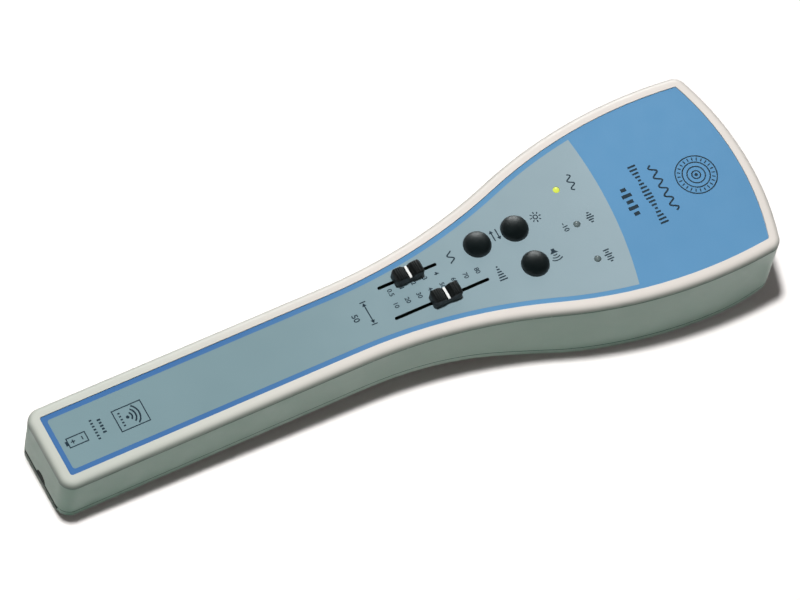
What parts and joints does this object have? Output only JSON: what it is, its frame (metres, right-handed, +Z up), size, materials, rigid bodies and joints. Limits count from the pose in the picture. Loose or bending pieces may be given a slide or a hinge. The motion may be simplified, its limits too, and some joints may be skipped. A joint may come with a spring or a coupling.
{
  "type": "handheld audiometer",
  "caption": "Club-shaped handheld audiometer: slim battery handle, broad loudspeaker head, recessed panel with two slide controls, round keys and indicator lamps.",
  "frame": {"origin": "on the ground under the middle of the device as it lies on its back, between the ends and the sides", "axes": "+X from the end of the handle to the head, +Y across the panel, +Z up from the ground; the panel leans back by 2.6 degrees"},
  "size_m": [0.339, 0.0948, 0.0454],
  "materials": {
    "housing_plastic": "fine matt texture",
    "overlay_film": "printed film, satin",
    "cap_plastic": "moulded, matt",
    "key_rubber": "smooth",
    "moving_nylon": "moulded, plain",
    "switch_plastic": "moulded, plain",
    "fader_steel": "plated sheet",
    "board_laminate": "solder mask",
    "chip_epoxy": "moulded, matt",
    "capacitor_can": "drawn can",
    "lamp_green": "diffused lens, lit",
    "lamp_clear": "diffused lens",
    "lens_clear": "clear moulding",
    "cell_wrap": "printed wrap",
    "contact_nickel": "nickel plated",
    "screw_steel": "zinc plated",
    "basket_steel": "black lacquer",
    "magnet_ferrite": "ground",
    "cone_paper": "pressed paper"
  },
  "bodies": {
    "housing": {"upper_housing": "housing_plastic", "lower_cover": "housing_plastic", "front_overlay": "overlay_film", "main_board": "board_laminate", "housing_screws": "screw_steel", "frequency_fader": "fader_steel", "level_fader": "fader_steel", "select_switch": "switch_plastic", "light_switch": "switch_plastic", "stimulus_switch": "switch_plastic", "tone_lamp": "lamp_green", "noise_lamp": "lamp_clear", "warble_lamp": "lamp_clear", "left_cell": "cell_wrap", "right_cell": "cell_wrap", "bridge_contact": "contact_nickel", "plus_contact": "contact_nickel", "minus_contact": "contact_nickel", "contact_springs": "contact_nickel", "controller_chip": "chip_epoxy", "amplifier_chip": "chip_epoxy", "capacitors": "capacitor_can", "speaker_basket": "basket_steel", "speaker_cone": "cone_paper", "speaker_magnet": "magnet_ferrite", "reward_lens": "lens_clear", "reward_lamp": "lens_clear", "reward_board": "board_laminate"},
    "frequency_slider": {"frequency_cap": "cap_plastic", "frequency_carriage": "moving_nylon"},
    "level_slider": {"level_cap": "cap_plastic", "level_carriage": "moving_nylon"},
    "select_button": {"select_key": "key_rubber", "select_plunger": "moving_nylon"},
    "light_button": {"light_key": "key_rubber", "light_plunger": "moving_nylon"},
    "stimulus_button": {"stimulus_key": "key_rubber", "stimulus_plunger": "moving_nylon"},
    "door": {"battery_door": "housing_plastic"}
  },
  "joints": [
    {"name": "frequency_slide", "type": "slide", "parent": "housing", "child": "frequency_slider", "axis": [0.999, 0, 0.0454], "range_m": [-0.0119, 0.0119]},
    {"name": "level_slide", "type": "slide", "parent": "housing", "child": "level_slider", "axis": [0.999, 0, 0.0454], "range_m": [-0.0219, 0.0189]},
    {"name": "select_press", "type": "slide", "parent": "housing", "child": "select_button", "axis": [0.0454, 0, -0.999], "range_m": [0, 0.0012], "stiffness_N_per_m": 400},
    {"name": "light_press", "type": "slide", "parent": "housing", "child": "light_button", "axis": [0.0454, 0, -0.999], "range_m": [0, 0.0012], "stiffness_N_per_m": 400},
    {"name": "stimulus_press", "type": "slide", "parent": "housing", "child": "stimulus_button", "axis": [0.0454, 0, -0.999], "range_m": [0, 0.0012], "stiffness_N_per_m": 400},
    {"name": "door_slide", "type": "slide", "parent": "housing", "child": "door", "axis": [-0.999, 0, -0.0454], "range_m": [0, 0.066]}
  ]
}
